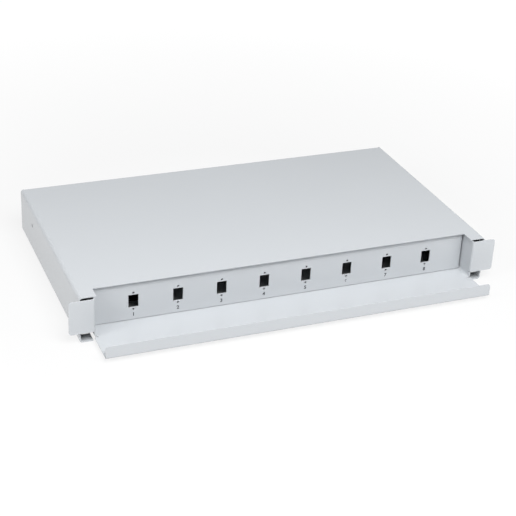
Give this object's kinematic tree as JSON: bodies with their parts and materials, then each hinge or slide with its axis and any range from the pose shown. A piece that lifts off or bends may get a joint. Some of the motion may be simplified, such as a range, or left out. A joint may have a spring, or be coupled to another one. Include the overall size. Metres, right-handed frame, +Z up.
{
  "type": "fiber termination box",
  "caption": "Flat folded-steel box with a sliding drawer, a recessed row of adapter cut-outs and a lipped front shelf.",
  "frame": {"origin": "centre of the bounding box's underside, drawer closed", "axes": "+X to the right seen from the front, +Y towards the rear wall, +Z up; the drawer's front faces -Y"},
  "size_m": [0.4556, 0.3116, 0.0489],
  "materials": {
    "powder_coat": "pale grey satin powder coat on folded steel sheet",
    "zinc_steel": "bright zinc-plated steel",
    "dark_steel": "blackened steel",
    "black_nylon": "black moulded nylon, matt",
    "seal_rubber": "black rubber, matt",
    "cassette_plastic": "pale grey moulded plastic, satin",
    "lid_plastic": "smoke-grey glossy plastic",
    "comb_plastic": "blue moulded plastic, matt",
    "brass": "plain brass, satin"
  },
  "bodies": {
    "case": {"case_cover": "powder_coat", "base_plate": "powder_coat", "base_screw_1": "zinc_steel", "base_screw_2": "zinc_steel", "base_screw_3": "zinc_steel", "base_screw_4": "zinc_steel", "base_screw_5": "zinc_steel", "base_screw_6": "zinc_steel", "slide_outer_left": "zinc_steel", "slide_screw_left": "dark_steel", "slide_bumper_left": "seal_rubber", "gland_body_left": "black_nylon", "gland_nut_left": "black_nylon", "gland_cap_left": "black_nylon", "gland_seal_left": "seal_rubber", "blanking_plug_left": "black_nylon", "slide_outer_right": "zinc_steel", "slide_screw_right": "dark_steel", "slide_bumper_right": "seal_rubber", "gland_body_right": "black_nylon", "gland_nut_right": "black_nylon", "gland_cap_right": "black_nylon", "gland_seal_right": "seal_rubber", "blanking_plug_right": "black_nylon", "rear_screw_1": "zinc_steel", "rear_screw_2": "zinc_steel", "rear_screw_3": "zinc_steel", "earth_bolt": "brass", "earth_washer": "brass", "earth_nut": "brass"},
    "drawer": {"drawer_tray": "powder_coat", "port_panel": "powder_coat", "slide_inner_left": "zinc_steel", "panel_rivet_left_1": "zinc_steel", "panel_rivet_left_2": "zinc_steel", "clamp_saddle_left": "black_nylon", "clamp_bar_left": "zinc_steel", "clamp_screw_left_1": "zinc_steel", "clamp_screw_left_2": "zinc_steel", "fibre_clip_left_front": "black_nylon", "fibre_clip_left_rear": "black_nylon", "slide_inner_right": "zinc_steel", "panel_rivet_right_1": "zinc_steel", "panel_rivet_right_2": "zinc_steel", "clamp_saddle_right": "black_nylon", "clamp_bar_right": "zinc_steel", "clamp_screw_right_1": "zinc_steel", "clamp_screw_right_2": "zinc_steel", "fibre_clip_right_front": "black_nylon", "fibre_clip_right_rear": "black_nylon", "cassette_base": "cassette_plastic", "cassette_lid": "lid_plastic", "splice_comb_1": "comb_plastic", "splice_comb_2": "comb_plastic", "cassette_screw_1": "zinc_steel", "cassette_screw_2": "zinc_steel"},
    "cage_left": {"slide_cage_left": "zinc_steel"},
    "cage_right": {"slide_cage_right": "zinc_steel"}
  },
  "joints": [
    {"name": "drawer_slide", "type": "slide", "parent": "case", "child": "drawer", "axis": [0, -1, 0], "range_m": [0, 0.15]},
    {"name": "cage_left_slide", "type": "slide", "parent": "case", "child": "cage_left", "axis": [0, -1, 0], "range_m": [0, 0.075]},
    {"name": "cage_right_slide", "type": "slide", "parent": "case", "child": "cage_right", "axis": [0, -1, 0], "range_m": [0, 0.075]}
  ],
  "couplings": [
    {"joint": "cage_left_slide", "follows": "drawer_slide", "ratio": 0.5},
    {"joint": "cage_right_slide", "follows": "drawer_slide", "ratio": 0.5}
  ]
}
